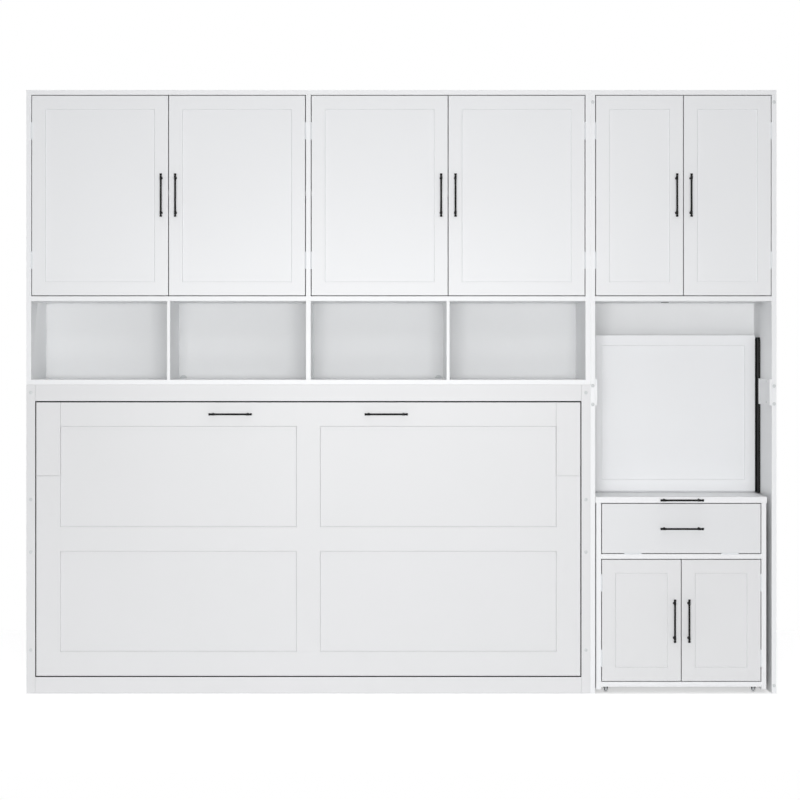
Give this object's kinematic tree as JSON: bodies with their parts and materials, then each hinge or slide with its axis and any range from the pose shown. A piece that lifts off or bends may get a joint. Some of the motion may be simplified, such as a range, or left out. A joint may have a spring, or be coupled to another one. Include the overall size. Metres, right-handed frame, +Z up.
{
  "type": "wall bed with fold down desk",
  "caption": "White side-folding wall bed with overhead cabinets, an open shelf row, and a desk tower with a fold-down leaf and a rolling cabinet.",
  "frame": {"origin": "on the floor, under the middle of the bounding box of the whole closed unit", "axes": "+X along the wall to the right seen from the room, +Y towards the wall, +Z up; the bed and doors face -Y"},
  "size_m": [2.776, 0.43, 2.233],
  "materials": {
    "white_board": "satin white foil on board",
    "white_back": "white faced thin board",
    "pale_wood": "planed bare timber",
    "black_metal": "satin black powder coat",
    "zinc_steel": "zinc plated",
    "white_metal": "white painted",
    "grey_wheel": "light grey tread"
  },
  "bodies": {
    "cabinet": {"bed_carcass": "white_board", "bed_face_frame": "white_board", "bed_back_panel": "white_back", "wall_rails": "white_board", "upper_uprights": "white_board", "upper_boards": "white_board", "cubby_dividers": "white_board", "upper_back_panel": "white_back", "tower_sides": "white_board", "tower_boards": "white_board", "tower_back_panel": "white_back", "side_battens": "white_board", "desk_rails": "black_metal", "shelves": "white_board", "shelf_pins": "zinc_steel", "cabinet_hinge_leaves": "white_metal", "pivot_brackets": "zinc_steel"},
    "bed": {"bed_front_panel": "white_board", "bed_front_trim": "white_board", "bed_tray": "white_board", "bed_slats": "pale_wood", "bed_pulls": "black_metal", "bed_brackets": "zinc_steel"},
    "leg_left": {"bed_leg_left": "white_board"},
    "leg_right": {"bed_leg_right": "white_board"},
    "strut_cylinders": {"strut_tubes": "black_metal"},
    "strut_pistons": {"strut_rods": "zinc_steel"},
    "desk": {"desk_leaf": "white_board", "desk_arms": "black_metal"},
    "cart": {"cart_sides": "white_board", "cart_top": "white_board", "cart_decks": "white_board", "cart_back": "white_back", "cart_fittings": "white_metal"},
    "flap": {"cart_flap": "white_board", "flap_fittings": "black_metal"},
    "cart_left_door": {"cart_door_left": "white_board", "cart_fittings_left": "black_metal"},
    "cart_right_door": {"cart_door_right": "white_board", "cart_fittings_right": "black_metal"},
    "door_1": {"upper_door_1": "white_board", "upper_fittings_1": "black_metal"},
    "door_2": {"upper_door_2": "white_board", "upper_fittings_2": "black_metal"},
    "door_3": {"upper_door_3": "white_board", "upper_fittings_3": "black_metal"},
    "door_4": {"upper_door_4": "white_board", "upper_fittings_4": "black_metal"},
    "door_5": {"upper_door_5": "white_board", "upper_fittings_5": "black_metal"},
    "door_6": {"upper_door_6": "white_board", "upper_fittings_6": "black_metal"},
    "fork_1": {"caster_fork_1": "black_metal"},
    "wheel_1": {"caster_wheel_1": "grey_wheel"},
    "fork_2": {"caster_fork_2": "black_metal"},
    "wheel_2": {"caster_wheel_2": "grey_wheel"},
    "fork_3": {"caster_fork_3": "black_metal"},
    "wheel_3": {"caster_wheel_3": "grey_wheel"},
    "fork_4": {"caster_fork_4": "black_metal"},
    "wheel_4": {"caster_wheel_4": "grey_wheel"}
  },
  "joints": [
    {"name": "bed_fold", "type": "hinge", "parent": "cabinet", "child": "bed", "pos_m": [-0.3445, -0.135, 0.3], "axis": [1, 0, 0], "range_deg": [0, 90]},
    {"name": "leg_left_swing", "type": "hinge", "parent": "bed", "child": "leg_left", "pos_m": [-1.3085, -0.172, 1.068], "axis": [1, 0, 0], "range_deg": [-90, 0]},
    {"name": "leg_right_swing", "type": "hinge", "parent": "bed", "child": "leg_right", "pos_m": [0.6195, -0.172, 1.068], "axis": [1, 0, 0], "range_deg": [-90, 0]},
    {"name": "strut_tilt", "type": "hinge", "parent": "cabinet", "child": "strut_cylinders", "pos_m": [-0.3445, -0.06, 0.54], "axis": [1, 0, 0], "range_deg": [0, 14.88]},
    {"name": "strut_stroke", "type": "slide", "parent": "strut_cylinders", "child": "strut_pistons", "axis": [0, -0.1933, -0.9811], "range_m": [-0.10595, 0]},
    {"name": "upper_door_1_hinge", "type": "hinge", "parent": "cabinet", "child": "door_1", "pos_m": [-1.3685, -0.1876, 1.8425], "axis": [0, 0, -1], "range_deg": [0, 110]},
    {"name": "upper_door_2_hinge", "type": "hinge", "parent": "cabinet", "child": "door_2", "pos_m": [-0.355, -0.1876, 1.8425], "axis": [0, 0, 1], "range_deg": [0, 85]},
    {"name": "upper_door_3_hinge", "type": "hinge", "parent": "cabinet", "child": "door_3", "pos_m": [-0.334, -0.1876, 1.8425], "axis": [0, 0, -1], "range_deg": [0, 85]},
    {"name": "upper_door_4_hinge", "type": "hinge", "parent": "cabinet", "child": "door_4", "pos_m": [0.6795, -0.1876, 1.8425], "axis": [0, 0, 1], "range_deg": [0, 90]},
    {"name": "upper_door_5_hinge", "type": "hinge", "parent": "cabinet", "child": "door_5", "pos_m": [0.7185, -0.1876, 1.8425], "axis": [0, 0, -1], "range_deg": [0, 90]},
    {"name": "upper_door_6_hinge", "type": "hinge", "parent": "cabinet", "child": "door_6", "pos_m": [1.3685, -0.1876, 1.8425], "axis": [0, 0, 1], "range_deg": [0, 110]},
    {"name": "desk_fold", "type": "hinge", "parent": "cabinet", "child": "desk", "pos_m": [1.0435, 0.104, 0.7366], "axis": [1, 0, 0], "range_deg": [0, 90]},
    {"name": "cart_roll", "type": "slide", "parent": "cabinet", "child": "cart", "axis": [0, -1, 0], "range_m": [0, 0.45]},
    {"name": "flap_hinge", "type": "hinge", "parent": "cart", "child": "flap", "pos_m": [1.0355, -0.1876, 0.5175], "axis": [1, 0, 0], "range_deg": [0, 90]},
    {"name": "cart_left_door_hinge", "type": "hinge", "parent": "cart", "child": "cart_left_door", "pos_m": [0.7405, -0.1876, 0.2705], "axis": [0, 0, -1], "range_deg": [0, 95]},
    {"name": "cart_right_door_hinge", "type": "hinge", "parent": "cart", "child": "cart_right_door", "pos_m": [1.3305, -0.1876, 0.2705], "axis": [0, 0, 1], "range_deg": [0, 110]},
    {"name": "caster_1_swivel", "type": "hinge", "parent": "cart", "child": "fork_1", "pos_m": [0.761, -0.14, 0.021], "axis": [0, 0, 1], "continuous": true},
    {"name": "caster_1_roll", "type": "hinge", "parent": "fork_1", "child": "wheel_1", "pos_m": [0.761, -0.134, 0.0095], "axis": [1, 0, 0], "continuous": true},
    {"name": "caster_2_swivel", "type": "hinge", "parent": "cart", "child": "fork_2", "pos_m": [1.31, -0.14, 0.021], "axis": [0, 0, 1], "continuous": true},
    {"name": "caster_2_roll", "type": "hinge", "parent": "fork_2", "child": "wheel_2", "pos_m": [1.31, -0.134, 0.0095], "axis": [1, 0, 0], "continuous": true},
    {"name": "caster_3_swivel", "type": "hinge", "parent": "cart", "child": "fork_3", "pos_m": [0.761, 0.138, 0.021], "axis": [0, 0, 1], "continuous": true},
    {"name": "caster_3_roll", "type": "hinge", "parent": "fork_3", "child": "wheel_3", "pos_m": [0.761, 0.144, 0.0095], "axis": [1, 0, 0], "continuous": true},
    {"name": "caster_4_swivel", "type": "hinge", "parent": "cart", "child": "fork_4", "pos_m": [1.31, 0.138, 0.021], "axis": [0, 0, 1], "continuous": true},
    {"name": "caster_4_roll", "type": "hinge", "parent": "fork_4", "child": "wheel_4", "pos_m": [1.31, 0.144, 0.0095], "axis": [1, 0, 0], "continuous": true}
  ],
  "couplings": [
    {"joint": "leg_left_swing", "follows": "bed_fold", "ratio": -1},
    {"joint": "leg_right_swing", "follows": "bed_fold", "ratio": -1},
    {"joint": "strut_tilt", "follows": "bed_fold", "ratio": 0.16527},
    {"joint": "strut_stroke", "follows": "bed_fold", "m_per_rad": -0.067387}
  ]
}
